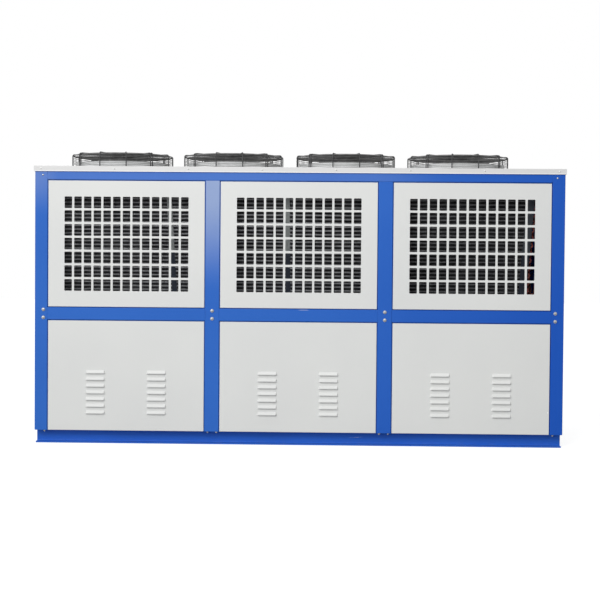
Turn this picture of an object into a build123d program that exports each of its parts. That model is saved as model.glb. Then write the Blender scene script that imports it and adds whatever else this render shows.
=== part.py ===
"""Air-cooled condensing unit: a folded steel frame of three bays on a channel base, closed by grilles
and louvred panels, with a V of finned coils under a white cover that carries four guarded fans.

X runs along the unit, the front looks towards -Y and Z is up. The origin is the centre of the base,
on the ground. All sizes are in millimetres.
"""

import os
from math import hypot

from build123d import *

# Whole unit
frame_length = 3000
frame_depth = 1100
bay_count = 3
fan_count = 4

# Heights above the ground
frame_bottom = 74
lower_panel_top = 699
upper_panel_bottom = 778
upper_panel_top = 1494
cover_top = 1577

# Folded frame sheet
frame_sheet = 2
bend_radius = 3
mid_post_face = 80
corner_post_face = 71
return_depth = 12
seat_lip = 15
top_flange = 40
seat_gap = 0.3

# Panels
panel_sheet = 1.2
panel_gap = 5
panel_inset = 1.5
panel_edge_radius = 2.2

# Grille holes
hole_columns = 13
hole_rows = 7
hole_width = 43
hole_height = 66
hole_pitch_x = 55.2
hole_pitch_z = 78.2
hole_corner_radius = 5

# Louvres
louvre_columns = 2
louvre_rows = 7
louvre_column_pitch = 348
louvre_pitch = 38.2
louvre_top_drop = 281
louvre_width = 112
louvre_crown_width = 98
louvre_height = 19
louvre_crown_height = 4
louvre_reach = 9
louvre_side_angle = 78

# Base
base_height = 80
base_flange_width = 43
base_web = 5
base_flange = 8
base_root_radius = 6
base_toe_setback = 12
base_end_setback = 5
cross_member_width = 40
floor_sheet = 2

# Cover
cover_sheet = 1.5
cover_lip = 31
cover_overhang = 6
cover_edge_radius = 3

# Fan rings
ring_outer_radius = 280
ring_wall = 2
ring_rise = 52
ring_drop = 60
ring_flange = 16
ring_hole_clearance = 1

# Fan guards
guard_radius = 305
guard_rise = 106
guard_corner_radius = 16
guard_legs = 12
guard_first_leg = 15
guard_turns = (-3, -1.5, 0, 3.5)
guard_leg_bar = 6
guard_ring_bar = 5
guard_bar_lap = 1
guard_top_rings = 14
guard_side_rings = 5
guard_plate_radius = 75

# Fan rotors and motors
blade_count = 5
blade_tip_clearance = 8
blade_thickness = 4
blade_root_chord = 110
blade_tip_chord = 150
blade_root_angle = 30
blade_tip_angle = 20
blade_sweep = 40
blade_height = 35
rotor_hub_radius = 82
rotor_hub_height = 64
rotor_running_gap = 5
stator_radius = 60
stator_height = 14
shaft_radius = 8.5
shaft_clearance = 0.05
shaft_length = 60

# Coils
coil_thickness = 65
coil_trough = 260
coil_side_clearance = 31
coil_top_drop = 15
coil_left_space = 78
header_space = 218
coil_plate_width = 28
coil_end_plate_width = 44
coil_plate_sheet = 2
deck_sheet = 2
deck_rise = 2
header_radius = 14
header_offset = 65
header_stub_radius = 5
header_stub_pitch = 25
header_end_margin = 20

# Derived places
half_length = frame_length / 2
half_depth = frame_depth / 2
frame_top = cover_top - cover_sheet
frame_envelope = return_depth + frame_sheet
bay_opening = (
    frame_length - 2 * corner_post_face - (bay_count - 1) * mid_post_face
) / bay_count
end_opening = frame_depth - 2 * corner_post_face
bay_pitch = bay_opening + mid_post_face
bay_centres = [(i - (bay_count - 1) / 2) * bay_pitch for i in range(bay_count)]
mid_post_centres = [(i - bay_count / 2 + 1) * bay_pitch for i in range(bay_count - 1)]
mid_rail_bottom = lower_panel_top + panel_gap
mid_rail_top = upper_panel_bottom - panel_gap
top_rail_bottom = upper_panel_top + panel_gap
panel_depth = return_depth - panel_inset - seat_gap
lower_panel_height = lower_panel_top - frame_bottom
upper_panel_height = upper_panel_top - upper_panel_bottom
fan_pitch = (frame_length - coil_left_space - header_space) / fan_count
fan_row_start = coil_left_space - half_length
fan_row_end = half_length - header_space
fan_places = [fan_row_start + (i + 0.5) * fan_pitch for i in range(fan_count)]
side_turns = {"front": 0, "right": 90, "back": 180, "left": 270}
side_reach = {"front": half_depth, "right": half_length, "back": half_depth, "left": half_length}


def side_plane(side, along=0.0):
    """Ground plane of one side: x runs along its face, y points into the unit and z is up."""
    turned = Plane.XY.rotated((0, 0, side_turns[side]))
    start = turned.from_local_coords(Vector(along, -side_reach[side], 0))
    return Plane(origin=start, x_dir=turned.x_dir, z_dir=(0, 0, 1))


def folded_bar(plane, outline, length):
    """Frame sheet folded along an outline, its thickness on the left, run out by a length."""
    with BuildPart() as bar:
        with BuildSketch(plane):
            with BuildLine():
                FilletPolyline(*outline, radius=bend_radius)
                offset(amount=frame_sheet, side=Side.LEFT)
            make_face()
        extrude(amount=length)
    return bar.part


def save(piece, name):
    """Label a finished piece and write it under its own name."""
    piece.part.label = name
    export_step(piece.part, f"parts/{name}.step")


os.makedirs("parts", exist_ok=True)


# Base rails: rolled channels on edge, their flanges pointing outwards
base_length = frame_length - 2 * base_end_setback
base_toe = half_depth - base_toe_setback
base_web_back = base_toe - base_flange_width


def rolled_channel(plane, width, length):
    """A channel on edge, its web's back on the plane's y axis and its flanges towards +x."""
    with BuildPart() as channel:
        with BuildSketch(plane) as section:
            with Locations((width / 2, base_height / 2)):
                Rectangle(width, base_height)
            with Locations((base_web + width / 2, base_height / 2)):
                Rectangle(width, base_height - 2 * base_flange, mode=Mode.SUBTRACT)
            fillet(section.vertices().group_by(Axis.X)[1], base_root_radius)
        extrude(amount=length)
    return channel.part


front_rail_plane = Plane(
    origin=(half_length - base_end_setback, -base_web_back, 0), x_dir=(0, -1, 0), z_dir=(-1, 0, 0)
)
back_rail_plane = Plane(
    origin=(base_end_setback - half_length, base_web_back, 0), x_dir=(0, 1, 0), z_dir=(1, 0, 0)
)
for name, plane in (("base_rail_front", front_rail_plane), ("base_rail_back", back_rail_plane)):
    with BuildPart() as base_rail:
        add(rolled_channel(plane, base_flange_width, base_length))
    save(base_rail, name)

# Cross members: channels between the rails, at both ends, under the mid posts and in the middle
end_member_face = half_length - base_toe_setback
cross_member_length = 2 * base_web_back
with BuildPart() as base_cross_members:
    left_faces = [-end_member_face] + [x - cross_member_width / 2 for x in mid_post_centres] + [0]
    for left_face in left_faces:
        across = Plane(
            origin=(left_face, base_web_back, 0), x_dir=(1, 0, 0), z_dir=(0, -1, 0)
        )
        add(rolled_channel(across, cross_member_width, cross_member_length))
    right_end = Plane(
        origin=(end_member_face, -base_web_back, 0), x_dir=(-1, 0, 0), z_dir=(0, 1, 0)
    )
    add(rolled_channel(right_end, cross_member_width, cross_member_length))
save(base_cross_members, "base_cross_members")

# Floor plate: flat sheet on the base, inside the posts
inner_length = frame_length - 2 * (frame_envelope + seat_gap)
inner_depth = frame_depth - 2 * (frame_envelope + seat_gap)
with BuildPart() as floor_plate:
    with BuildSketch(Plane.XY.offset(base_height)):
        Rectangle(inner_length, inner_depth)
    extrude(amount=floor_sheet)
save(floor_plate, "floor_plate")

# Corner posts: sheet folded round the corner, with a seat lip behind each panel
corner_outline = (
    (return_depth, corner_post_face + seat_lip),
    (return_depth, corner_post_face),
    (0, corner_post_face),
    (0, 0),
    (corner_post_face, 0),
    (corner_post_face, return_depth),
    (corner_post_face + seat_lip, return_depth),
)
seat_depth = return_depth - seat_gap
notch_reach = corner_post_face + 2 * seat_lip


def notch(x_low, x_high, y_low, z_low, z_high):
    """Cutter for the folded lips where a bar laps another, from a depth inwards."""
    with BuildPart(mode=Mode.PRIVATE) as cutter:
        with BuildSketch(Plane.XY.offset(z_low)):
            with Locations(((x_low + x_high) / 2, y_low + notch_reach / 2)):
                Rectangle(x_high - x_low, notch_reach)
        extrude(amount=z_high - z_low)
    return cutter.part


with BuildPart() as corner_post:
    add(folded_bar(Plane.XY.offset(frame_bottom), corner_outline, frame_top - frame_bottom))
    add(notch(seat_depth, notch_reach, seat_depth, frame_bottom, base_height), mode=Mode.SUBTRACT)
with BuildPart() as corner_posts:
    with Locations(*(side_plane(side, -side_reach[other]) for side, other in (
        ("front", "right"), ("right", "back"), ("back", "left"), ("left", "front")
    ))):
        add(corner_post.part)
save(corner_posts, "corner_posts")

# Mid posts: hat sections between the bays, standing on the base and ending under the top rail
mid_post_outline = (
    (-mid_post_face / 2 - seat_lip, return_depth),
    (-mid_post_face / 2, return_depth),
    (-mid_post_face / 2, 0),
    (mid_post_face / 2, 0),
    (mid_post_face / 2, return_depth),
    (mid_post_face / 2 + seat_lip, return_depth),
)
mid_post_reach = mid_post_face / 2 + seat_lip
with BuildPart() as mid_post:
    add(folded_bar(Plane.XY.offset(frame_bottom), mid_post_outline, top_rail_bottom - frame_bottom))
    add(
        notch(-mid_post_reach, mid_post_reach, seat_depth, frame_bottom, base_height),
        mode=Mode.SUBTRACT,
    )
for side in ("front", "back"):
    with BuildPart() as mid_posts:
        with Locations(*(side_plane(side, x) for x in mid_post_centres)):
            add(mid_post.part)
    save(mid_posts, f"{side}_mid_posts")

# Top rails: hat below for the panels, flange above that carries the cover
top_rail_outline = (
    (top_flange, frame_top),
    (0, frame_top),
    (0, top_rail_bottom),
    (return_depth, top_rail_bottom),
    (return_depth, top_rail_bottom - seat_lip),
)
lap = seat_lip + seat_gap
lap_depth = return_depth - bend_radius - seat_gap


def top_rail(length, crossings):
    """A top rail with its inner folds cut back at both ends and its lip cut over each mid post."""
    low = top_rail_bottom - seat_lip
    with BuildPart() as rail:
        add(folded_bar(Plane.YZ.offset(-length / 2), top_rail_outline, length))
        add(notch(-length / 2, lap - length / 2, lap_depth, low, frame_top), mode=Mode.SUBTRACT)
        add(notch(length / 2 - lap, length / 2, lap_depth, low, frame_top), mode=Mode.SUBTRACT)
        for x in crossings:
            reach = mid_post_reach + seat_gap
            add(notch(x - reach, x + reach, lap_depth, low, top_rail_bottom), mode=Mode.SUBTRACT)
    return rail.part


with BuildPart() as top_rails:
    with Locations(side_plane("front"), side_plane("back")):
        add(top_rail(frame_length - 2 * corner_post_face, mid_post_centres))
    with Locations(side_plane("right"), side_plane("left")):
        add(top_rail(end_opening, ()))
save(top_rails, "top_rails")

# Mid rails: hat sections between the posts, one for each bay and each end
mid_rail_outline = (
    (return_depth, mid_rail_top + seat_lip),
    (return_depth, mid_rail_top),
    (0, mid_rail_top),
    (0, mid_rail_bottom),
    (return_depth, mid_rail_bottom),
    (return_depth, mid_rail_bottom - seat_lip),
)


def mid_rail(length):
    """A mid rail with its lips cut back at both ends, where they lap the posts' lips."""
    low = mid_rail_bottom - seat_lip
    high = mid_rail_top + seat_lip
    with BuildPart() as rail:
        add(folded_bar(Plane.YZ.offset(-length / 2), mid_rail_outline, length))
        add(notch(-length / 2, lap - length / 2, lap_depth, low, high), mode=Mode.SUBTRACT)
        add(notch(length / 2 - lap, length / 2, lap_depth, low, high), mode=Mode.SUBTRACT)
    return rail.part


for side in ("front", "back"):
    with BuildPart() as mid_rails:
        with Locations(*(side_plane(side, x) for x in bay_centres)):
            add(mid_rail(bay_opening))
    save(mid_rails, f"{side}_mid_rails")
with BuildPart() as end_mid_rails:
    with Locations(side_plane("right"), side_plane("left")):
        add(mid_rail(end_opening))
save(end_mid_rails, "end_mid_rails")


# Panels: shallow trays of white sheet, let in between the posts and rails
def tray(width, height, bottom):
    """A tray with its face outwards and its edges turned in, centred on x and standing on bottom."""
    with BuildPart() as shell:
        with BuildSketch(Plane.XZ.offset(-panel_inset)):
            with Locations((0, bottom + height / 2)):
                Rectangle(width, height)
        extrude(amount=-panel_depth)
        face = shell.faces().sort_by(Axis.Y)[0]
        fillet(face.edges(), panel_edge_radius)
        offset(amount=-panel_sheet, openings=shell.faces().sort_by(Axis.Y)[-1])
    return shell.part


panel_width = bay_opening - 2 * panel_gap
end_panel_width = end_opening - 2 * panel_gap
upper_panel_middle = upper_panel_bottom + upper_panel_height / 2

# Upper panels of the front and back: sheet punched with rows of rounded holes
with BuildPart() as grille:
    add(tray(panel_width, upper_panel_height, upper_panel_bottom))
    with BuildSketch(Plane.XZ):
        with Locations((0, upper_panel_middle)):
            with GridLocations(hole_pitch_x, hole_pitch_z, hole_columns, hole_rows):
                RectangleRounded(hole_width, hole_height, hole_corner_radius)
    extrude(amount=-return_depth, mode=Mode.SUBTRACT)

# One louvre: a pressed hood open below, its crown standing out from the sheet
with BuildPart() as louvre_hood:
    with BuildSketch(Plane.XZ.offset(-panel_inset)):
        Trapezoid(
            louvre_width, louvre_height, louvre_side_angle, align=(Align.CENTER, Align.MIN)
        )
    with BuildSketch(Plane.XZ.offset(louvre_reach - panel_inset)):
        Rectangle(
            louvre_crown_width, louvre_crown_height, align=(Align.CENTER, Align.MIN)
        )
    loft(ruled=True)
with BuildPart() as louvre_void:
    with BuildSketch(Plane.XZ.offset(-panel_inset - panel_sheet)):
        with Locations((0, -seat_gap)):
            Trapezoid(
                louvre_width - 2 * panel_sheet,
                louvre_height - panel_sheet,
                louvre_side_angle,
                align=(Align.CENTER, Align.MIN),
            )
    with BuildSketch(Plane.XZ.offset(louvre_reach - panel_inset - panel_sheet)):
        with Locations((0, -seat_gap)):
            Rectangle(
                louvre_crown_width - 2 * panel_sheet,
                louvre_crown_height - panel_sheet,
                align=(Align.CENTER, Align.MIN),
            )
    loft(ruled=True)


def louvred(panel, top):
    """Two columns of louvres raised on a panel's face and cut through its sheet."""
    top_hood = top - louvre_top_drop - louvre_height
    spots = [
        ((i - (louvre_columns - 1) / 2) * louvre_column_pitch, 0, top_hood - j * louvre_pitch)
        for i in range(louvre_columns)
        for j in range(louvre_rows)
    ]
    with BuildPart() as pressed:
        add(panel)
        with Locations(*spots):
            add(louvre_hood.part)
            add(louvre_void.part, mode=Mode.SUBTRACT)
    return pressed.part


louvred_panel = louvred(tray(panel_width, lower_panel_height, frame_bottom), lower_panel_top)
end_louvred_panel = louvred(
    tray(end_panel_width, lower_panel_height, frame_bottom), lower_panel_top
)
end_plain_panel = tray(end_panel_width, upper_panel_height, upper_panel_bottom)

bay_names = ("left", "middle", "right")
for side in ("front", "back"):
    for bay_name, x in zip(bay_names, bay_centres):
        place = x if side == "front" else -x
        for kind, sheet in (("grille", grille.part), ("panel", louvred_panel)):
            with BuildPart() as panel:
                with Locations(side_plane(side, place)):
                    add(sheet)
            save(panel, f"{side}_{kind}_{bay_name}")
for side in ("left", "right"):
    for storey, sheet in (("lower", end_louvred_panel), ("upper", end_plain_panel)):
        with BuildPart() as panel:
            with Locations(side_plane(side)):
                add(sheet)
        save(panel, f"end_panel_{storey}_{side}")

# Cover: one folded sheet with a lip all round and a hole for each fan ring
with BuildPart() as top_cover:
    with BuildSketch(Plane.XY.offset(cover_top)):
        Rectangle(frame_length + 2 * cover_overhang, frame_depth + 2 * cover_overhang)
    extrude(amount=-cover_lip)
    fillet(top_cover.faces().sort_by(Axis.Z)[-1].edges(), cover_edge_radius)
    offset(amount=-cover_sheet, openings=top_cover.faces().sort_by(Axis.Z)[0])
    with BuildSketch(Plane.XY.offset(cover_top)):
        with Locations(*((x, 0) for x in fan_places)):
            Circle(ring_outer_radius + ring_hole_clearance)
    extrude(amount=-cover_lip, mode=Mode.SUBTRACT)
save(top_cover, "top_cover")

# Fan ring: rolled sheet that stands through the cover, with a flange on it
ring_inner_radius = ring_outer_radius - ring_wall
with BuildPart() as fan_ring:
    with BuildSketch(Plane.XZ):
        with Locations((ring_inner_radius, cover_top - ring_drop)):
            Rectangle(ring_wall, ring_drop + ring_rise, align=Align.MIN)
        with Locations((ring_inner_radius, cover_top)):
            Rectangle(ring_wall + ring_flange, ring_wall, align=Align.MIN)
    revolve(axis=Axis.Z)

# Fan guard: a basket of wire rings under radial wires, with the motor's plate in the middle
guard_top = cover_top + guard_rise
ring_lap = guard_leg_bar - guard_bar_lap
top_ring_z = guard_top - ring_lap - guard_ring_bar / 2
side_ring_radius = guard_radius - ring_lap - guard_ring_bar / 2
flat_radius = guard_radius - guard_corner_radius
top_ring_step = (flat_radius - guard_plate_radius) / guard_top_rings
side_ring_step = (guard_rise - guard_corner_radius) / guard_side_rings
with BuildPart() as guard_leg:
    with BuildSketch(Plane.XZ):
        with BuildLine():
            FilletPolyline(
                (guard_radius, cover_top),
                (guard_radius, guard_top),
                (guard_plate_radius - guard_bar_lap, guard_top),
                radius=guard_corner_radius,
            )
            offset(amount=guard_leg_bar, side=Side.LEFT)
        make_face()
    extrude(amount=guard_leg_bar / 2, both=True)
with BuildPart() as fan_guard:
    with BuildSketch(Plane.XZ):
        for i in range(guard_top_rings):
            with Locations((guard_plate_radius + (i + 1) * top_ring_step, top_ring_z)):
                Rectangle(guard_ring_bar, guard_ring_bar)
        for i in range(guard_side_rings):
            with Locations((side_ring_radius, cover_top + (i + 0.5) * side_ring_step)):
                Rectangle(guard_ring_bar, guard_ring_bar)
    revolve(axis=Axis.Z)
    with PolarLocations(0, guard_legs, start_angle=guard_first_leg):
        add(guard_leg.part)
    with BuildSketch(Plane.XY.offset(guard_top - guard_leg_bar)):
        Circle(guard_plate_radius)
    extrude(amount=guard_leg_bar)

# Fan rotor: swept blades on the outer drum of the motor, bored for the fixed shaft
stator_top = guard_top - guard_leg_bar
stator_bottom = stator_top - stator_height
hub_top = stator_bottom - rotor_running_gap
blade_middle = cover_top + blade_height
blade_tip_radius = ring_inner_radius - blade_tip_clearance


def blade_plane(radius):
    """Plane square to a blade's length, its x along the blade's travel."""
    return Plane(origin=(radius, 0, blade_middle), x_dir=(0, 1, 0), z_dir=(1, 0, 0))


with BuildPart() as fan_blade:
    with BuildSketch(blade_plane(rotor_hub_radius - blade_sweep)):
        SlotOverall(blade_root_chord, blade_thickness, rotation=blade_root_angle)
    with BuildSketch(blade_plane(ring_outer_radius)):
        with Locations((blade_sweep, 0)):
            SlotOverall(blade_tip_chord, blade_thickness, rotation=blade_tip_angle)
    loft()
with BuildPart() as fan_rotor:
    with BuildSketch(Plane.XY.offset(hub_top)):
        Circle(rotor_hub_radius)
    extrude(amount=-rotor_hub_height)
    with PolarLocations(0, blade_count):
        add(fan_blade.part)
    with BuildSketch(Plane.XY.offset(hub_top)):
        Circle(blade_tip_radius)
    extrude(amount=-(guard_rise + ring_drop), mode=Mode.INTERSECT)
    with BuildSketch(Plane.XY.offset(hub_top)):
        Circle(shaft_radius + shaft_clearance)
    extrude(amount=-(shaft_length + rotor_running_gap), mode=Mode.SUBTRACT)

# Fan motor: the fixed plate and shaft that hang the rotor from its guard
with BuildPart() as fan_motor:
    with BuildSketch(Plane.XY.offset(stator_top)):
        Circle(stator_radius)
    extrude(amount=-stator_height)
    with BuildSketch(Plane.XY.offset(stator_bottom)):
        Circle(shaft_radius)
    extrude(amount=-shaft_length)

for number, (x, turn) in enumerate(zip(fan_places, guard_turns), start=1):
    for name, piece, turned in (
        ("ring", fan_ring, 0), ("guard", fan_guard, turn), ("rotor", fan_rotor, 0)
    ):
        with BuildPart() as placed:
            with Locations(Location((x, 0, 0), (0, 0, turned))):
                add(piece.part)
        save(placed, f"fan_{name}_{number}")
with BuildPart() as fan_motors:
    with Locations(*((x, 0, 0) for x in fan_places)):
        add(fan_motor.part)
save(fan_motors, "fan_motors")

# Coil deck: sheet across the frame that carries the coils
deck_top = mid_rail_top + deck_rise + deck_sheet
with BuildPart() as coil_deck:
    with BuildSketch(Plane.XY.offset(deck_top)):
        Rectangle(inner_length, inner_depth)
    extrude(amount=-deck_sheet)
save(coil_deck, "coil_deck")

# Coils: finned slabs that lean outwards from the middle, in a V seen from the end
coil_foot = Vector(0, -coil_trough / 2, deck_top + seat_gap)
coil_head = Vector(0, coil_side_clearance - half_depth, upper_panel_top - coil_top_drop)
coil_rise = coil_head - coil_foot
coil_height = hypot(coil_rise.Y, coil_rise.Z)


def coil_plane(x):
    """Plane on the coil's outer face: x runs along the unit, y up the slope and z outwards."""
    up_slope = coil_rise.normalized()
    outwards = Vector(1, 0, 0).cross(up_slope)
    return Plane(origin=coil_foot + Vector(x, 0, 0), x_dir=(1, 0, 0), z_dir=outwards)


# Each coil is a slab under each fan, with a folded plate between slabs and one at each end
coil_left = fan_row_start - coil_plate_width / 2
coil_right = fan_row_end + coil_plate_width / 2
plate_centres = [fan_row_start + i * fan_pitch for i in range(1, fan_count)]
slab_starts = [coil_left] + [x + coil_plate_width / 2 for x in plate_centres]
slab_ends = [x - coil_plate_width / 2 for x in plate_centres] + [coil_right]
plates = [(coil_left - coil_plate_width, coil_left)]
plates += [(x - coil_plate_width / 2, x + coil_plate_width / 2) for x in plate_centres]
plates += [(coil_right, coil_right + coil_end_plate_width)]


def coil_block(start, end, sink, thickness):
    """A block as high as the coil, between two places along it, its face sunk behind the coil's."""
    with BuildPart() as block:
        with BuildSketch(coil_plane((start + end) / 2).offset(-sink)):
            Rectangle(end - start, coil_height, align=(Align.CENTER, Align.MIN))
        extrude(amount=-thickness)
    return block.part


with BuildPart() as coil_front:
    for start, end in zip(slab_starts, slab_ends):
        add(coil_block(start + seat_gap, end - seat_gap, 0, coil_thickness))
save(coil_front, "coil_front")
with BuildPart() as coil_back:
    add(coil_front.part)
    mirror(about=Plane.XZ, mode=Mode.REPLACE)
save(coil_back, "coil_back")

# Coil plates: folded channels, closed towards the air and open behind
with BuildPart() as coil_plates:
    for start, end in plates:
        add(coil_block(start, end, 0, coil_thickness))
    for start, end in plates:
        hollow_start = start + coil_plate_sheet
        hollow_end = end - coil_plate_sheet
        hollow = coil_block(hollow_start, hollow_end, coil_plate_sheet, coil_thickness)
        add(hollow, mode=Mode.SUBTRACT)
    mirror(about=Plane.XZ)
save(coil_plates, "coil_plates")

# Coil headers: copper pipes beside each coil's right end, with feeder stubs at top and bottom
end_plate_face = coil_right + coil_end_plate_width
header_length = coil_height - 2 * header_end_margin
first_stub = header_end_margin + header_stub_pitch
stub_rises = (
    first_stub,
    first_stub + header_stub_pitch,
    coil_height - first_stub - header_stub_pitch,
    coil_height - first_stub,
)
with BuildPart() as coil_headers:
    for depth in (header_radius, coil_thickness - header_radius):
        middle = coil_plane(end_plate_face + header_offset).offset(-depth)
        foot = middle.from_local_coords(Vector(0, header_end_margin, 0))
        with BuildSketch(Plane(origin=foot, x_dir=(1, 0, 0), z_dir=coil_rise)):
            Circle(header_radius)
        extrude(amount=header_length)
        for rise in stub_rises:
            spot = middle.from_local_coords(Vector(0, rise, 0))
            with BuildSketch(Plane(origin=spot, x_dir=(0, 1, 0), z_dir=(-1, 0, 0))):
                Circle(header_stub_radius)
            extrude(amount=header_offset - seat_gap)
    mirror(about=Plane.XZ)
save(coil_headers, "coil_headers")
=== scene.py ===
import math

import bmesh
import bpy
from mathutils import Matrix, Vector


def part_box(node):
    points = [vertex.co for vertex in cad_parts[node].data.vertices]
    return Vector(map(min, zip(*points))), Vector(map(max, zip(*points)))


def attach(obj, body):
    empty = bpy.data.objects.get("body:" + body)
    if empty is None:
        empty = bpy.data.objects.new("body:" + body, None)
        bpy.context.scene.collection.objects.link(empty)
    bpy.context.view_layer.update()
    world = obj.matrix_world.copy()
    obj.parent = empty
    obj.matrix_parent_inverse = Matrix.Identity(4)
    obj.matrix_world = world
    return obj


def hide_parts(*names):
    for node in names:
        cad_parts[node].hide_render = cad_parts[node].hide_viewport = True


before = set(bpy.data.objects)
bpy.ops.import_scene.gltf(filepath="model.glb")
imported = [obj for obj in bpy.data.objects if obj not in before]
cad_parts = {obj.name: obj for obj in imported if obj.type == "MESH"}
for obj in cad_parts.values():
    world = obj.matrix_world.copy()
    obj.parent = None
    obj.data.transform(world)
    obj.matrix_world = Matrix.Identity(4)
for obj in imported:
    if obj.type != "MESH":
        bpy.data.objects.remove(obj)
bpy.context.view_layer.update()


# Base: two rolled channels along the unit and cross members between them, welded and painted blue.
# The paint is a touch darker than the frame's and has one light slanted streak along the front
# channel.
class Term:
    """A shader socket that adds a Math node for each sum it is used in."""

    def __init__(self, recipe, socket):
        self.recipe = recipe
        self.socket = socket

    def sum(self, operation, first, second):
        sockets = {0: first, 1: second}
        return self.recipe.add("ShaderNodeMath", {"operation": operation}, sockets, 0)

    def __add__(self, other):
        return self.sum("ADD", self, other)

    def __radd__(self, other):
        return self.sum("ADD", other, self)

    def __sub__(self, other):
        return self.sum("SUBTRACT", self, other)

    def __rsub__(self, other):
        return self.sum("SUBTRACT", other, self)

    def __mul__(self, other):
        return self.sum("MULTIPLY", self, other)

    def __truediv__(self, other):
        return self.sum("DIVIDE", self, other)

    def __abs__(self):
        return self.sum("ABSOLUTE", self, 0.0)

    def most(self, other):
        return self.sum("MAXIMUM", self, other)


class Recipe:
    """A finish, or the surroundings: the nodes that make it up."""

    def __init__(self, owner, shader="Principled BSDF", **constants):
        if isinstance(owner, str):
            owner = bpy.data.materials.new(owner)
        self.material = owner
        self.material.use_nodes = True
        self.tree = self.material.node_tree
        self.shader = self.tree.nodes[shader]
        for socket, value in constants.items():
            self.shader.inputs[socket.replace("_", " ")].default_value = value
        self.place = self.add("ShaderNodeTexCoord", {}, {}, "Object")

    def add(self, kind, settings, sockets, give):
        """A node of a kind, set up and wired, given back as the Term of one of its outputs."""
        node = self.tree.nodes.new(kind)
        for key, value in settings.items():
            setattr(node, key, value)
        for key, value in sockets.items():
            self.wire(self.find(node.inputs, key), value)
        return Term(self, self.find(node.outputs, give))

    def find(self, sockets, key):
        """A socket by its number, its identifier or its name."""
        if isinstance(key, int):
            return sockets[key]
        named = [s for s in sockets if s.identifier == key]
        return named[0] if named else sockets[key]

    def wire(self, socket, value):
        """Link a Term to a socket, or set it to a plain value."""
        if isinstance(value, Term):
            self.tree.links.new(value.socket, socket)
        elif isinstance(value, tuple) and socket.type == "RGBA":
            socket.default_value = (*value, 1.0)
        else:
            socket.default_value = value

    def feed(self, name, value):
        """Wire what varies over the surface to the shader."""
        self.wire(self.shader.inputs[name], value)

    def axes(self):
        """The three object coordinates as separate Terms, in metres."""
        split = self.add("ShaderNodeSeparateXYZ", {}, {0: self.place}, 0)
        outs = split.socket.node.outputs
        return [Term(self, out) for out in outs]

    def noise(self, scale, detail=2.0, roughness=0.5):
        """Grey cloud of about 0.2 to 0.8, its grain given as features for each metre."""
        sockets = {"Vector": self.place, "Scale": scale, "Detail": detail, "Roughness": roughness}
        return self.add("ShaderNodeTexNoise", {}, sockets, 0)

    def fade(self, value, low, high):
        """Nought below low, one above high, and a smooth step between."""
        sockets = {"Value": value, "From Min": low, "From Max": high}
        settings = {"interpolation_type": "SMOOTHSTEP"}
        return self.add("ShaderNodeMapRange", settings, sockets, 0)

    def blend(self, share, first, second):
        """One colour going over into another."""
        sockets = {"Factor_Float": share, "A_Color": first, "B_Color": second}
        return self.add("ShaderNodeMix", {"data_type": "RGBA"}, sockets, "Result_Color")

    def bump(self, height, strength, distance):
        """Relief on the shader's normal, its depth in metres."""
        sockets = {"Height": height, "Strength": strength, "Distance": distance}
        self.feed("Normal", self.add("ShaderNodeBump", {}, sockets, 0))


def dress(recipe, *names):
    """Give CAD pieces their finish."""
    for name in names:
        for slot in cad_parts[name].material_slots:
            slot.material = recipe.material


peel_strength = 0.12
peel_depth = 0.0006
speck_share = 0.35
roughness_spread = 0.12


def powder_coat(recipe, colour, light, deep, roughness):
    """Orange-peel relief and slow clouds of shade, as on sprayed and baked sheet steel."""
    clouds = recipe.fade(recipe.noise(1.6, detail=3.0), 0.3, 0.7)
    specks = recipe.fade(recipe.noise(900.0, detail=1.0), 0.62, 0.74)
    shade = recipe.blend(clouds, deep, colour)
    recipe.feed("Roughness", roughness + recipe.noise(35.0, detail=3.0) * roughness_spread)
    recipe.bump(recipe.noise(420.0, detail=1.0), peel_strength, peel_depth)
    return recipe.blend(specks * speck_share, shade, light)


base_light = (0.08, 0.20, 0.64)
base_blue = (0.026, 0.140, 0.60)
base_deep = (0.020, 0.120, 0.55)
streak_colour = (0.55, 0.6, 0.72)
streak_middle = (0.335, 0.043)
streak_half_length = 0.045
streak_half_width = 0.0016
streak_slope = 0.06
dust_colour = (0.2, 0.2, 0.22)
dust_top = 0.03
dust_share = 0.12
base_paint = Recipe("base_paint", Specular_IOR_Level=0.15)
x, y, z = base_paint.axes()
# A short light streak, slanting slightly, low on the channel.
along = abs(x - streak_middle[0]) / streak_half_length
across = abs(z - streak_middle[1] - (x - streak_middle[0]) * streak_slope) / streak_half_width
light_streak = (1.0 - along).most(0.0) * (1.0 - across).most(0.0)
light_streak = light_streak * base_paint.fade(base_paint.noise(160.0, detail=2.0), 0.35, 0.55)
dust = base_paint.fade(dust_top - z, 0.0, dust_top)
dust = dust * base_paint.fade(base_paint.noise(24.0, detail=4.0), 0.4, 0.7)
coat = powder_coat(base_paint, base_blue, base_light, base_deep, roughness=0.34)
coat = base_paint.blend(dust * dust_share, coat, dust_colour)
base_paint.feed("Base Color", base_paint.blend(light_streak, coat, streak_colour))
dress(base_paint, "base_rail_front", "base_rail_back", "base_cross_members")

# Frame: posts and rails folded from sheet, powder-coated blue and bolted together.
# The left mid post, the top rail's left part and the upper left corner have a painted sheen, a pale
# painted reflection, and the middle rail has a light smear.
frame_light = (0.15, 0.28, 0.70)
frame_blue = (0.031, 0.150, 0.58)
frame_deep = (0.026, 0.136, 0.55)
frame_shaded = (0.008, 0.088, 0.50)
frame_sheen = (0.36, 0.45, 0.66)
post_half_face = 0.04
front_face = (0.5, 0.52)
rail_foot = 1.4985
seam_fade = 0.001
sheen_levels = (0.85, 1.45)
sheen_share = 0.85
smear_colour = (0.5, 0.55, 0.7)
smear_middle = (0.03, 0.7695)
smear_half_length = 0.035
smear_half_width = 0.0035
smear_share = 0.5
shaded_share = 0.9
rail_sheen_end = 0.9
rail_sheen_share = 0.11
corner_sheen_levels = (1.28, 1.52)
corner_sheen_end = -1.28
corner_sheen_share = 0.26
frame_paint = Recipe("frame_paint", Specular_IOR_Level=0.2)
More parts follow.
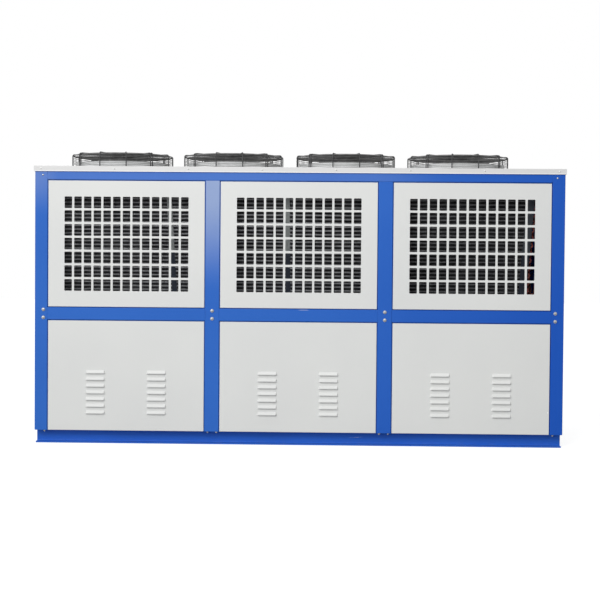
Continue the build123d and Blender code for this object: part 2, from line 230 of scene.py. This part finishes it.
x, y, z = frame_paint.axes()
mid_post_x = (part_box("front_grille_middle")[1].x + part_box("front_grille_right")[0].x) / 2
# Painted sheen: the left mid post's face is paler near its top, below the top rail.
painted_sheen = frame_paint.fade(post_half_face - abs(x + mid_post_x), -0.001, 0.003)
painted_sheen = painted_sheen * frame_paint.fade(z, *sheen_levels) * frame_paint.fade(rail_foot - z, 0.0, seam_fade)
painted_sheen = painted_sheen * frame_paint.fade(0.0 - y, *front_face)
painted_sheen = painted_sheen * (0.85 + frame_paint.noise(9.0, detail=3.0) * 0.2)
smear = frame_paint.fade(smear_half_length - abs(x - smear_middle[0]), 0.0, 0.02)
smear = smear * frame_paint.fade(smear_half_width - abs(z - smear_middle[1]), 0.0, 0.003)
coat = powder_coat(frame_paint, frame_blue, frame_light, frame_deep, roughness=0.28)
shaded = frame_paint.fade(x - z * 0.4, -0.6, 1.3)
coat = frame_paint.blend(shaded * shaded_share, coat, frame_shaded)
coat = frame_paint.blend(painted_sheen * sheen_share, coat, frame_sheen)
# Painted sheen: the top rail is paler towards the left end, and the frame's upper left corner is paler
# too.
rail_sheen = frame_paint.fade(z, rail_foot, rail_foot + seam_fade)
rail_sheen = rail_sheen * frame_paint.fade(rail_sheen_end - x, 0.0, 0.5) * rail_sheen_share
corner_sheen = frame_paint.fade(z, *corner_sheen_levels)
corner_sheen = corner_sheen * frame_paint.fade(corner_sheen_end - x, 0.0, 0.2) * corner_sheen_share
coat = frame_paint.blend(rail_sheen.most(corner_sheen), coat, frame_sheen)
frame_paint.feed("Base Color", frame_paint.blend(smear * smear_share, coat, smear_colour))
frame_nodes = ["corner_posts", "front_mid_posts", "back_mid_posts", "top_rails"]
frame_nodes += ["front_mid_rails", "back_mid_rails", "end_mid_rails"]
dress(frame_paint, *frame_nodes)

# Panels: white powder-coated sheet, folded to shallow trays and let in between posts and rails.
# The upper ones are punched as grilles, and the lower ones have pressed louvres. One edge has a small
# pale spot.
panel_light = (0.84, 0.85, 0.83)
panel_white = (0.76, 0.77, 0.755)
panel_deep = (0.735, 0.745, 0.735)
spot_colour = (0.97, 0.97, 0.97)
spot_middle = (1.4165, 0.200)
spot_half_width = 0.004
spot_half_height = 0.006
panel_face = (0.53, 0.535)
panel_paint = Recipe("panel_paint", Coat_Weight=0.08, Coat_Roughness=0.3)
x, y, z = panel_paint.axes()
coat = powder_coat(panel_paint, panel_white, panel_light, panel_deep, roughness=0.42)
# A small paler spot near the right edge of the lower right panel.
pale_spot = panel_paint.fade(spot_half_width - abs(x - spot_middle[0]), 0.0, 0.003)
pale_spot = pale_spot * panel_paint.fade(spot_half_height - abs(z - spot_middle[1]), 0.0, 0.004)
pale_spot = pale_spot * panel_paint.fade(0.0 - y, *panel_face)
panel_paint.feed("Base Color", panel_paint.blend(pale_spot, coat, spot_colour))
sides = ("front", "back")
bays = ("left", "middle", "right")
panel_nodes = [f"{s}_{kind}_{bay}" for s in sides for kind in ("grille", "panel") for bay in bays]
panel_nodes += [f"end_panel_{storey}_{s}" for storey in ("upper", "lower") for s in ("left", "right")]
dress(panel_paint, *panel_nodes)

# Top cover: one white sheet with a turned-down lip, resting on the top rails.
# It is a little glossier than the panels, with faint rain marks on its flat and a painted highlight
# along its lower rim.
cover_light = (0.82, 0.82, 0.81)
cover_white = (0.735, 0.735, 0.73)
cover_deep = (0.715, 0.715, 0.715)
rim_highlight = (0.93, 0.93, 0.93)
rim_height = 0.006
mark_grey = (0.6, 0.6, 0.58)
mark_share = 0.25
cover_paint = Recipe("cover_paint", Coat_Weight=0.12, Coat_Roughness=0.25)
x, y, z = cover_paint.axes()
cover_low, cover_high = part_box("top_cover")
coat = powder_coat(cover_paint, cover_white, cover_light, cover_deep, roughness=0.38)
flat = cover_paint.fade(z, cover_high.z - 0.002, cover_high.z - 0.0005)
marks = flat * cover_paint.fade(cover_paint.noise(7.0, detail=5.0, roughness=0.65), 0.48, 0.7)
coat = cover_paint.blend(marks * mark_share, coat, mark_grey)
# Painted highlight: the lip's lowest few millimetres are paler.
rim = cover_paint.fade(cover_low.z + rim_height - z, 0.0, rim_height / 2)
cover_paint.feed("Base Color", cover_paint.blend(rim, coat, rim_highlight))
dress(cover_paint, "top_cover")

# Floor plate and coil deck: galvanised sheet with a faint spangle.
# They lie unpainted inside the frame and have dulled unevenly.
zinc_bright = (0.52, 0.54, 0.55)
zinc_dull = (0.36, 0.38, 0.39)
spangles_per_metre = 70.0
zinc = Recipe("galvanised_sheet", Metallic=0.75)
sockets = {"Vector": zinc.place, "Scale": spangles_per_metre}
spangle = zinc.add("ShaderNodeTexVoronoi", {}, sockets, "Color")
grey = zinc.add("ShaderNodeSeparateColor", {}, {0: spangle}, 0)
dulled = zinc.fade(zinc.noise(3.0, detail=4.0), 0.35, 0.65)
zinc.feed("Base Color", zinc.blend(grey * 0.5 + dulled * 0.5, zinc_bright, zinc_dull))
zinc.feed("Roughness", 0.38 + grey * 0.14 + dulled * 0.1)
dress(zinc, "floor_plate", "coil_deck")

# Coil plates: flanged plates of galvanised sheet that stand between the coils' slabs and hold them.
# They are darkened by painted shade over their lower half, and the ones at the header end all the way
# up.
plate_bright = (0.50, 0.53, 0.52)
plate_dull = (0.36, 0.38, 0.38)
plate_shade = (0.055, 0.065, 0.09)
shade_level = 1.098
shaded_end = (1.2, 1.25)
shaded_end_share = 0.85
plate_zinc = Recipe("plate_zinc", Metallic=0.3)
x, y, z = plate_zinc.axes()
# Painted shade: the plates are darker below a level and towards the header end.
painted_shade = plate_zinc.fade(shade_level - z, 0.0, 0.01)
painted_shade = painted_shade.most(plate_zinc.fade(x, *shaded_end) * shaded_end_share)
shade = plate_zinc.blend(plate_zinc.noise(12.0, detail=3.0), plate_bright, plate_dull)
plate_zinc.feed("Base Color", plate_zinc.blend(painted_shade, shade, plate_shade))
plate_zinc.feed("Roughness", 0.4 + plate_zinc.noise(20.0, detail=2.0) * 0.2)
dress(plate_zinc, "coil_plates")

# Coil fins and tubes: thin aluminium fins pressed on rows of copper tube, in four slabs a side.
# Each fin's collars wrap the tubes in aluminium, so they show as pale lines between dark fins.
def new_piece(name, bm, recipe, body="unit", smooth=None):
    """Turn a bmesh into a finished piece that rides on a body, with its sharp edges kept."""
    bmesh.ops.recalc_face_normals(bm, faces=bm.faces)
    mesh = bpy.data.meshes.new(name)
    for face in bm.faces:
        face.smooth = smooth is not None
    bm.to_mesh(mesh)
    bm.free()
    if smooth is not None:
        mesh.set_sharp_from_angle(angle=math.radians(smooth))
    mesh.materials.append(recipe.material)
    piece = bpy.data.objects.new(name, mesh)
    bpy.context.scene.collection.objects.link(piece)
    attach(piece, body)
    return piece


def repeated(shape, places):
    """A bmesh with one shape drawn at every place, given as matrices."""
    mesh = bpy.data.meshes.new("shape")
    shape.to_mesh(mesh)
    shape.free()
    whole = bmesh.new()
    for place in places:
        mesh.transform(place)
        whole.from_mesh(mesh)
        mesh.transform(place.inverted())
    bpy.data.meshes.remove(mesh)
    return whole


def bar(bm, start, end, radius, sides):
    """A closed straight bar with a given number of sides between two points."""
    run = end - start
    middle = (start + end) / 2
    aim = run.to_track_quat("Z", "Y").to_matrix().to_4x4()
    bmesh.ops.create_cone(
        bm,
        cap_ends=True,
        segments=sides,
        radius1=radius,
        radius2=radius,
        depth=run.length,
        matrix=Matrix.Translation(middle) @ aim,
    )


coil_low, coil_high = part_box("coil_front")
plates_low, plates_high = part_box("coil_plates")
coil_thickness = 0.065
coil_trough_half = 0.13
coil_top = 1.479
deck_gap = 0.0003
fin_pitch = 0.0036
fin_thickness = 0.0003
fin_margin = 0.0002
fin_folds = 8
flat_folds = 2
fin_sway = 0.0034
row_stagger = (0.25, 0.75)
tube_pitch = 0.025
tube_rows = 3
first_row = 0.0078
row_pitch = 0.0217
collar_radius = 0.0049
tube_sides = 10
slab_gap_half = 0.0143
outer_foot = Vector((0.0, -coil_trough_half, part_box("coil_deck")[1].z + deck_gap))
slope = Vector((0.0, coil_low.y - outer_foot.y, coil_top - outer_foot.z))
coil_height = slope.length
up_slope = slope.normalized()
inwards = up_slope.cross(Vector((1.0, 0.0, 0.0)))
fan_numbers = range(1, 5)
fan_middles = [sum(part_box(f"fan_ring_{i}"), Vector()) / 2 for i in fan_numbers]
fan_pitch = fan_middles[1].x - fan_middles[0].x
slab_starts = [coil_low.x] + [m.x - fan_pitch / 2 + slab_gap_half for m in fan_middles[1:]]
slab_ends = [m.x + fan_pitch / 2 - slab_gap_half for m in fan_middles[:-1]] + [coil_high.x]

fin_light = (0.22, 0.22, 0.23)
fin_dark = (0.12, 0.12, 0.13)
fin_shade = (0.05, 0.05, 0.055)
collar_light = (0.90, 0.91, 0.94)
collar_dull = (0.76, 0.77, 0.80)
collar_shade = (0.20, 0.20, 0.21)
shade_span = (0.3, 0.9)
fins_shade_share = 0.45
collars_shade_share = 0.6
fins = Recipe("coil_fins", Roughness=0.5)
soot = fins.fade(fins.noise(5.0, detail=4.0), 0.35, 0.7)
x, y, z = fins.axes()
coat = fins.blend(soot, fin_light, fin_dark)
# Painted shade: the fins get darker towards the right end.
right_shade = fins.fade(x, *shade_span) * fins_shade_share
fins.feed("Base Color", fins.blend(right_shade, coat, fin_shade))
collars = Recipe("coil_tubes")
dulled = collars.fade(collars.noise(6.0, detail=3.0), 0.3, 0.7)
x, y, z = collars.axes()
coat = collars.blend(dulled, collar_light, collar_dull)
# Painted shade: the collars get darker towards the right end too.
right_shade = collars.fade(x, *shade_span) * collars_shade_share
collars.feed("Base Color", collars.blend(right_shade, coat, collar_shade))
collars.feed("Roughness", 0.35 + collars.noise(60.0, detail=2.0) * 0.2)


def coil_frame(side):
    """Turns along, inwards and up the slope into the unit's axes, from the foot of a coil."""
    turned = Matrix.Identity(4)
    for column, axis in ((1, inwards), (2, up_slope)):
        turned.col[column] = (0.0, axis.y * side, axis.z, 0.0)
    return Matrix.Translation((0.0, outer_foot.y * side, outer_foot.z)) @ turned


def corrugated_fin():
    """One fin: flat round the first row of tubes, then pressed into waves that stop the light."""
    fin = bmesh.new()
    depth = coil_thickness - 2 * fin_margin
    waves = []
    for i in range(fin_folds + 1):
        sway = fin_sway if i % 2 and i > flat_folds else 0.0
        waves.append((sway, fin_margin + depth * i / fin_folds))
    near = [fin.verts.new((sway, along, fin_margin)) for sway, along in waves]
    far = [fin.verts.new((sway + fin_thickness, along, fin_margin)) for sway, along in waves]
    for i in range(fin_folds):
        fin.faces.new((near[i], near[i + 1], far[i + 1], far[i]))
    grown = bmesh.ops.extrude_face_region(fin, geom=list(fin.faces))
    moved = [v for v in grown["geom"] if isinstance(v, bmesh.types.BMVert)]
    bmesh.ops.translate(fin, verts=moved, vec=(0.0, 0.0, coil_height - 2 * fin_margin))
    return fin


def fin_places(side):
    """Where each fin of a row of slabs stands."""
    for start, end in zip(slab_starts, slab_ends):
        room = end - start - fin_sway - fin_thickness
        count = int(room / fin_pitch)
        for i in range(count + 1):
            yield Matrix.Translation((start + room * i / count, 0.0, 0.0)) @ coil_frame(side)


def tube_places(side):
    """Where each tube runs, each row staggered by half a pitch from the one before it."""
    for start, end in zip(slab_starts, slab_ends):
        stretch = Matrix.Diagonal((end - start, 1.0, 1.0, 1.0))
        for row in range(tube_rows):
            depth = first_row + row * row_pitch
            stagger = row_stagger[row % 2]
            for i in range(int(coil_height / tube_pitch)):
                place = Matrix.Translation((0.0, depth, (i + stagger) * tube_pitch))
                yield Matrix.Translation((start, 0.0, 0.0)) @ coil_frame(side) @ place @ stretch


for node, side in (("coil_front", 1), ("coil_back", -1)):
    tube = bmesh.new()
    bar(tube, Vector((0.0, 0.0, 0.0)), Vector((1.0, 0.0, 0.0)), collar_radius, tube_sides)
    fin_mesh = repeated(corrugated_fin(), fin_places(side))
    tube_mesh = repeated(tube, tube_places(side))
    pack = new_piece(f"{node}_fins", fin_mesh, fins)
    bank = new_piece(f"{node}_tubes", tube_mesh, collars, smooth=40)
    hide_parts(node)
    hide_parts(node)

# Return bends: hairpins of bare copper, brazed on past the coils' end plates to join tubes in pairs.
# They and the upright headers beside them have gone brown in the air.
bend_radius = tube_pitch / 2
bend_tube = 0.0048
bend_steps = 8
bend_sides = 10
copper_bright = (0.44, 0.135, 0.115)
copper_brown = (0.28, 0.095, 0.085)
copper = Recipe("bare_copper", Metallic=0.3)
aged = copper.fade(copper.noise(18.0, detail=4.0), 0.35, 0.7)
copper.feed("Base Color", copper.blend(aged, copper_bright, copper_brown))
copper.feed("Roughness", 0.35 + aged * 0.25)


def hairpin():
    """Half a turn of tube from one tube of a pair to the next one up the slope."""
    bend = bmesh.new()
    foot = Matrix.Translation((0.0, 0.0, -bend_radius)) @ Matrix.Rotation(math.pi / 2, 4, "Y")
    made = bmesh.ops.create_circle(
        bend, cap_ends=True, segments=bend_sides, radius=bend_tube, matrix=foot
    )
    bmesh.ops.spin(
        bend,
        geom=made["verts"] + list(bend.edges) + list(bend.faces),
        cent=(0.0, 0.0, 0.0),
        axis=(0.0, -1.0, 0.0),
        angle=math.pi,
        steps=bend_steps,
    )
    return bend


def hairpin_places():
    """Past both end plates of both coils, row by row and pair by pair."""
    for side in (1, -1):
        for end_x, turned in ((plates_high.x, 0.0), (plates_low.x, math.pi)):
            for row in range(tube_rows):
                depth = first_row + row * row_pitch
                for i in range(int(coil_height / tube_pitch / 2)):
                    rise = (2 * i + row_stagger[row % 2] + 0.5) * tube_pitch
                    place = Matrix.Translation((0.0, depth, rise)) @ Matrix.Rotation(turned, 4, "Z")
                    yield Matrix.Translation((end_x, 0.0, 0.0)) @ coil_frame(side) @ place


bend_mesh = repeated(hairpin(), hairpin_places())
new_piece("return_bends", bend_mesh, copper, smooth=50)
dress(copper, "coil_headers")

# Fan rings: rolled sheet venturi rings, sprayed light grey, flanged to the cover.
# Their rims show low down inside the guards.
ring_light = (0.88, 0.88, 0.88)
ring_grey = (0.82, 0.83, 0.83)
ring_deep = (0.78, 0.79, 0.79)
ring_paint = Recipe("ring_paint", Coat_Weight=0.05)
coat = powder_coat(ring_paint, ring_grey, ring_light, ring_deep, roughness=0.4)
ring_paint.feed("Base Color", coat)
dress(ring_paint, *[f"fan_ring_{i}" for i in fan_numbers])

# Fan guards: baskets of steel wire, welded and dipped black, screwed to the cover at four feet.
# Fine rings lie close together under twelve thicker radial wires that bend down as legs.
guard_leg_wire = 0.0032
guard_ring_wire = 0.0013
guard_legs = 12
guard_first_leg = math.radians(15)
guard_corner = 0.010
guard_corner_steps = 8
guard_corner_rings = 4
guard_ring_pitch = 0.0090
guard_ring_steps = 80
guard_boss_radius = 0.075
guard_boss_thickness = 0.003
guard_boss_sides = 48
guard_leg_end = 0.9
guard_leg_sides = 8
guard_weld = 0.2
ring_wire_sides = 6
guard_outer_radius = 0.305
guard_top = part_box("fan_guard_1")[1].z - guard_leg_wire
guard_foot = cover_high.z
guard_radius = guard_outer_radius - guard_leg_wire
guard_turns = (-3.0, -1.5, 0.0, 3.5)
guard_strand = 0.007
double_legs = (1, 4, 7, 10)


def wire_coat(name, colour, worn):
    """Dipped plastic on wire, worn a little lighter in patches."""
    made = Recipe(name, Specular_IOR_Level=0.35)
    rubbed = made.fade(made.noise(30.0, detail=4.0), 0.4, 0.7)
    made.feed("Base Color", made.blend(rubbed, colour, worn))
    made.feed("Roughness", 0.4 + rubbed * 0.2)
    return made


leg_black = (0.040, 0.040, 0.042)
leg_worn = (0.085, 0.085, 0.087)
# Painted light: the fine rings get a lighter copy of the legs' black coat, standing in for the light
# on the dense rings.
ring_lit_grey = (0.12, 0.12, 0.12)
ring_lit_worn = (0.21, 0.21, 0.21)
leg_coat = wire_coat("guard_leg_wire", leg_black, leg_worn)
ring_coat = wire_coat("guard_ring_wire", ring_lit_grey, ring_lit_worn)


def ring_sections(bm, spots):
    """Sections of the fine rings, each at a radius and a height, out along X."""
    for radius, height in spots:
        place = Matrix.Translation((radius, 0.0, height)) @ Matrix.Rotation(math.pi / 2, 4, "X")
        bmesh.ops.create_circle(bm, segments=ring_wire_sides, radius=guard_ring_wire, matrix=place)


def swept_wire(bm, points, radius, sides):
    """A wire through points that lie in one upright plane, closed at both ends."""
    across = (points[1] - points[0]).cross(points[-1] - points[0]).normalized()
    loops = []
    for i, point in enumerate(points):
        before = points[max(i - 1, 0)]
        after = points[min(i + 1, len(points) - 1)]
        along = (after - before).normalized()
        up = across.cross(along)
        loop = []
        for k in range(sides):
            turn = math.tau * k / sides
            loop.append(bm.verts.new(point + (across * math.cos(turn) + up * math.sin(turn)) * radius))
        loops.append(loop)
    edges = [[bm.edges.new((loop[k], loop[k - 1])) for k in range(sides)] for loop in loops]
    for first, second in zip(edges, edges[1:]):
        bmesh.ops.bridge_loops(bm, edges=first + second)
    bm.faces.new(loops[0])
    bm.faces.new(loops[-1])


def leg_path(angle, aside=0.0):
    """A leg's path: up from the cover, round the corner and in to the boss."""
    out = Vector((math.cos(angle), math.sin(angle), 0.0))
    beside = Vector((-math.sin(angle), math.cos(angle), 0.0)) * aside
    corner_middle = guard_radius - guard_corner
    points = [out * guard_radius + Vector((0, 0, guard_foot))]
    for k in range(guard_corner_steps + 1):
        turn = math.pi / 2 * k / guard_corner_steps
        height = guard_top - guard_corner + guard_corner * math.sin(turn)
        points.append(out * (corner_middle + guard_corner * math.cos(turn)) + Vector((0, 0, height)))
    points.append(out * guard_boss_radius * guard_leg_end + Vector((0, 0, guard_top)))
    return [point + beside for point in points]


def ring_spots():
    """Radius and height of every fine ring: over the top, round the corner and down the side."""
    inner = guard_leg_wire + guard_ring_wire * (1.0 - guard_weld)
    corner_middle = guard_radius - guard_corner
    for k in range(int((corner_middle - guard_boss_radius) / guard_ring_pitch) + 1):
        yield corner_middle - k * guard_ring_pitch, guard_top - inner
    for k in range(1, guard_corner_rings + 1):
        turn = math.pi / 2 * (1 - k / (guard_corner_rings + 1))
        out = corner_middle + (guard_corner - inner) * math.cos(turn)
        yield out, guard_top - guard_corner + (guard_corner - inner) * math.sin(turn)
    side_top = guard_top - guard_corner
    for k in range(int((side_top - guard_foot) / guard_ring_pitch) + 1):
        yield guard_radius - inner, side_top - k * guard_ring_pitch


rings = bmesh.new()
ring_sections(rings, ring_spots())
bmesh.ops.spin(
    rings,
    geom=list(rings.verts) + list(rings.edges),
    cent=(0.0, 0.0, 0.0),
    axis=(0.0, 0.0, 1.0),
    angle=math.tau,
    steps=guard_ring_steps,
    use_merge=True,
)
legs = bmesh.new()
for k in range(guard_legs):
    angle = guard_first_leg + k * math.tau / guard_legs
    strands = (-guard_strand, guard_strand) if k in double_legs else (0.0,)
    for aside in strands:
        swept_wire(legs, leg_path(angle, aside), guard_leg_wire, guard_leg_sides)
boss_top = Vector((0.0, 0.0, guard_top))
boss_foot = boss_top - Vector((0.0, 0.0, guard_boss_thickness))
bar(legs, boss_foot, boss_top, guard_boss_radius, guard_boss_sides)
for number, centre, degrees in zip(fan_numbers, fan_middles, guard_turns):
    turn = Matrix.Rotation(math.radians(degrees), 4, "Z")
    for name, wires, coated in (("rings", rings, ring_coat), ("legs", legs, leg_coat)):
        basket = repeated(wires.copy(), [Matrix.Translation((centre.x, centre.y, 0.0)) @ turn])
        guard = new_piece(f"guard_{name}_{number}", basket, coated, smooth=45)
        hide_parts(f"fan_guard_{number}")

# Fan rotors and motors: sheet blades riveted to an outer-rotor motor, sprayed black.
# The motor hangs from the guard's middle and turns the blades inside the ring.
rotor_light = (0.12, 0.12, 0.12)
rotor_black = (0.060, 0.060, 0.062)
rotor_deep = (0.048, 0.048, 0.050)
rotor_paint = Recipe("rotor_paint", Coat_Weight=0.1)
coat = powder_coat(rotor_paint, rotor_black, rotor_light, rotor_deep, roughness=0.4)
rotor_paint.feed("Base Color", coat)
dress(rotor_paint, *[f"fan_rotor_{i}" for i in fan_numbers], "fan_motors")

# Frame bolts: zinc-plated hex bolts on washers, two at each crossing of a post and a mid rail.
# They hold the rails to brackets behind the posts.
bolt_head_radius = 0.0078
bolt_head_height = 0.0054
washer_radius = 0.0098
washer_thickness = 0.0016
washer_sides = 24
hex_sides = 6
bolt_chamfer = 0.2
bolt_crown = 0.9
bolt_spread = 0.0225
corner_bolt_inset = 0.049
turn_along = 7.0
turn_up = 31.0
bolt_bright = (0.62, 0.62, 0.61)
bolt_dull = (0.40, 0.40, 0.39)
bolt_zinc = Recipe("bolt_zinc", Metallic=0.9)
clouded = bolt_zinc.noise(300.0, detail=3.0)
bolt_zinc.feed("Base Color", bolt_zinc.blend(clouded, bolt_bright, bolt_dull))
bolt_zinc.feed("Roughness", 0.25 + bolt_zinc.noise(500.0, detail=2.0) * 0.2)


def hex_bolt(head_radius, head_height, washer):
    """A washer and a chamfered hex head, standing up from the origin."""
    bolt = bmesh.new()
    up = Vector((0.0, 0.0, 1.0))
    bar(bolt, up * washer_thickness, up * (washer_thickness + head_height), head_radius, hex_sides)
    crown = washer_thickness + head_height * bolt_crown
    bmesh.ops.bevel(
        bolt,
        geom=[e for e in bolt.edges if all(v.co.z > crown for v in e.verts)],
        offset=head_height * bolt_chamfer,
        segments=2,
        affect="EDGES",
        profile=0.5,
        material=-1,
    )
    bar(bolt, Vector(), up * washer_thickness, washer, washer_sides)
    return bolt


def facing(place, way):
    """Stands a bolt on a face that looks a given way, its turn set by where it is."""
    turn = Matrix.Rotation(place.x * turn_along + place.z * turn_up, 4, "Z")
    return Matrix.Translation(place) @ way.to_track_quat("Z", "Y").to_matrix().to_4x4() @ turn


posts_low, posts_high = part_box("corner_posts")
rail_middle = (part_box("front_panel_left")[1].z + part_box("front_grille_left")[0].z) / 2
mid_post_places = [-mid_post_x, mid_post_x]
corner_places = [posts_low.x + corner_bolt_inset, posts_high.x - corner_bolt_inset]
places = []
for rise in (-bolt_spread, bolt_spread):
    level = rail_middle + rise
    for y, way in ((posts_low.y, -1), (posts_high.y, 1)):
        for x in mid_post_places + corner_places:
            places.append(facing(Vector((x, y, level)), Vector((0, way, 0))))
    for x, way in ((posts_low.x, -1), (posts_high.x, 1)):
        for y in (posts_low.y + corner_bolt_inset, posts_high.y - corner_bolt_inset):
            places.append(facing(Vector((x, y, level)), Vector((way, 0, 0))))
frame_bolts = repeated(hex_bolt(bolt_head_radius, bolt_head_height, washer_radius), places)
new_piece("frame_bolts", frame_bolts, bolt_zinc, smooth=35)

# Rivets: low domes of bare zinc along the cover's lip and one near each upper corner of the frame.
# Screws with round heads hold the guards' double feet to the cover. Sizes are radius and height.
lip_rivet = (0.0045, 0.0014)
corner_rivet = (0.0055, 0.0030)
guard_screw = (0.0065, 0.0040)
dome_rings = 4
dome_steps = 16
lip_rivets = 8
lip_rivet_end = 0.0405
lip_rivet_drop = 0.0155
corner_rivet_inset = 0.045
corner_rivet_drop = 0.0505


def rivet(radius, height):
    """A shallow dome standing up from the origin, cut from a ball."""
    dome = bmesh.new()
    ball = (radius ** 2 + height ** 2) / (2 * height)
    arc = math.asin(radius / ball)
    verts = []
    for k in range(dome_rings + 1):
        turn = arc * k / dome_rings
        rise = ball * math.cos(turn) + height - ball
        verts.append(dome.verts.new((ball * math.sin(turn), 0.0, rise)))
    edges = [dome.edges.new(pair) for pair in zip(verts, verts[1:])]
    bmesh.ops.spin(
        dome,
        geom=verts + edges,
        cent=(0.0, 0.0, 0.0),
        axis=(0.0, 0.0, 1.0),
        angle=math.tau,
        steps=dome_steps,
        use_merge=True,
    )
    bmesh.ops.remove_doubles(dome, verts=dome.verts, dist=0.00002)
    bmesh.ops.holes_fill(dome, edges=[e for e in dome.edges if e.is_boundary])
    return dome


lip_places = []
lip_span = cover_high.x - cover_low.x - 2 * lip_rivet_end
for y, way in ((cover_low.y, -1), (cover_high.y, 1)):
    for k in range(lip_rivets):
        x = cover_low.x + lip_rivet_end + lip_span * k / (lip_rivets - 1)
        place = Vector((x, y, cover_high.z - lip_rivet_drop))
        lip_places.append(facing(place, Vector((0, way, 0))))
corner_places = []
for y, way in ((posts_low.y, -1), (posts_high.y, 1)):
    for x in (posts_low.x + corner_rivet_inset, posts_high.x - corner_rivet_inset):
        place = Vector((x, y, posts_high.z - corner_rivet_drop))
        corner_places.append(facing(place, Vector((0, way, 0))))
foot_places = []
for degrees, centre in zip(guard_turns, fan_middles):
    for k in double_legs:
        angle = guard_first_leg + k * math.tau / guard_legs + math.radians(degrees)
        place = Vector((math.cos(angle), math.sin(angle), 0.0)) * guard_radius
        place += Vector((centre.x, centre.y, cover_high.z))
        foot_places.append(facing(place, Vector((0, 0, 1))))
for name, size, places in (
    ("lip_rivets", lip_rivet, lip_places),
    ("corner_rivets", corner_rivet, corner_places),
    ("guard_screws", guard_screw, foot_places),
):
    new_piece(name, repeated(rivet(*size), places), bolt_zinc, smooth=60)

# Base bolts: nuts and shank ends under the channels' top flanges, which hold the posts down.
# They sit in the shade below the frame, two at each mid post and one at each corner.
nut_radius = 0.0075
nut_height = 0.006
stub_radius = 0.004
stub_height = 0.010
stub_start = 0.9
stub_sides = 12
flange_underside = 0.0715
base_bolt_setback = 0.034
mid_bolt_spread = 0.025
base_corner_inset = 0.051
nut_turn = 9.0
nut = bmesh.new()
down = Vector((0.0, 0.0, -1.0))
bar(nut, Vector(), down * nut_height, nut_radius, hex_sides)
bar(nut, down * nut_height * stub_start, down * stub_height, stub_radius, stub_sides)
places = []
for y in (posts_low.y + base_bolt_setback, posts_high.y - base_bolt_setback):
    spots = [middle + way * mid_bolt_spread for middle in mid_post_places for way in (-1, 1)]
    spots += [posts_low.x + base_corner_inset, posts_high.x - base_corner_inset]
    for x in spots:
        turn = Matrix.Rotation(x * nut_turn, 4, "Z")
        places.append(Matrix.Translation((x, y, flange_underside)) @ turn)
new_piece("base_bolts", repeated(nut, places), bolt_zinc, smooth=35)

# Studio floor and surroundings: a plain pale floor that shows as white, in even white surroundings.
# The surroundings look brighter to the camera and in reflections than the light that they give.
floor_half_size = 30.0
floor_grey = (0.38, 0.38, 0.38)
floor_glow = (0.8, 0.8, 0.8)
ambient_strength = 0.46
sight_strength = 0.54
floor_mesh = bmesh.new()
bmesh.ops.create_grid(floor_mesh, x_segments=1, y_segments=1, size=floor_half_size)
floor_data = bpy.data.meshes.new("studio_floor")
floor_mesh.to_mesh(floor_data)
floor_mesh.free()
floor = bpy.data.objects.new("studio_floor", floor_data)
bpy.context.scene.collection.objects.link(floor)
floor_recipe = Recipe("studio_floor", Roughness=0.9, Emission_Strength=1.0)
floor_recipe.feed("Base Color", floor_grey)
seen = floor_recipe.add("ShaderNodeLightPath", {}, {}, "Is Camera Ray")
floor_recipe.feed("Emission Color", floor_recipe.blend(seen, (0.0, 0.0, 0.0), floor_glow))
floor_data.materials.append(floor_recipe.material)

surroundings = Recipe(bpy.data.worlds.new("surroundings"), "Background", Color=(1.0, 1.0, 1.0, 1.0))
bpy.context.scene.world = surroundings.material
rays = [
    surroundings.add("ShaderNodeLightPath", {}, {}, ray)
    for ray in ("Is Camera Ray", "Is Glossy Ray", "Is Transmission Ray")
]
in_sight = rays[0].most(rays[1]).most(rays[2])
surroundings.feed("Strength", ambient_strength + in_sight * sight_strength)

# Lamps: a broad key light that comes down from the upper left and in front of the unit.
# A large flat lamp adds a little more at the upper left.
key_strength = 1.2
key_spread = math.radians(50)
key_way = Vector((0.6, 0.7, -0.4))
side_place = Vector((-1.1, -4.8, 3.8))
side_target = Vector((-0.3, 0.0, 1.8))
side_size = (2.5, 2.0)
side_power = 95.0
key_light = bpy.data.lights.new("key", "SUN")
key_light.energy = key_strength
key_light.angle = key_spread
key = bpy.data.objects.new("key", key_light)
bpy.context.scene.collection.objects.link(key)
key.rotation_euler = key_way.to_track_quat("-Z", "Y").to_euler()
side_light = bpy.data.lights.new("side_light", "AREA")
side_light.shape = "RECTANGLE"
side_light.size, side_light.size_y = side_size
side_light.energy = side_power
side = bpy.data.objects.new("side_light", side_light)
bpy.context.scene.collection.objects.link(side)
side.location = side_place
side.rotation_euler = (side_target - side_place).to_track_quat("-Z", "Y").to_euler()

# Camera: it looks at the front, from a little right of the middle and below the height of the cover.
# Its focal length is given in pixels of a square picture, and its turns are small.
camera_place = Vector((0.155, -8.05, 1.019))
camera_yaw = math.radians(-1.115)
camera_pitch = math.radians(1.469)
camera_roll = math.radians(0.459)
focal_pixels = 1324.2
picture_width = 600
sensor_width = 36.0
clip_end = 100.0
camera_data = bpy.data.cameras.new("camera")
camera_data.sensor_width = sensor_width
camera_data.lens = focal_pixels / picture_width * sensor_width
camera_data.clip_end = clip_end
camera = bpy.data.objects.new("camera", camera_data)
bpy.context.scene.collection.objects.link(camera)
aim = Matrix.Rotation(-camera_yaw, 4, "Z") @ Matrix.Rotation(math.pi / 2 - camera_pitch, 4, "X")
camera.matrix_world = Matrix.Translation(camera_place) @ aim @ Matrix.Rotation(camera_roll, 4, "Z")
bpy.context.scene.camera = camera
bpy.context.scene.view_settings.view_transform = "Standard"
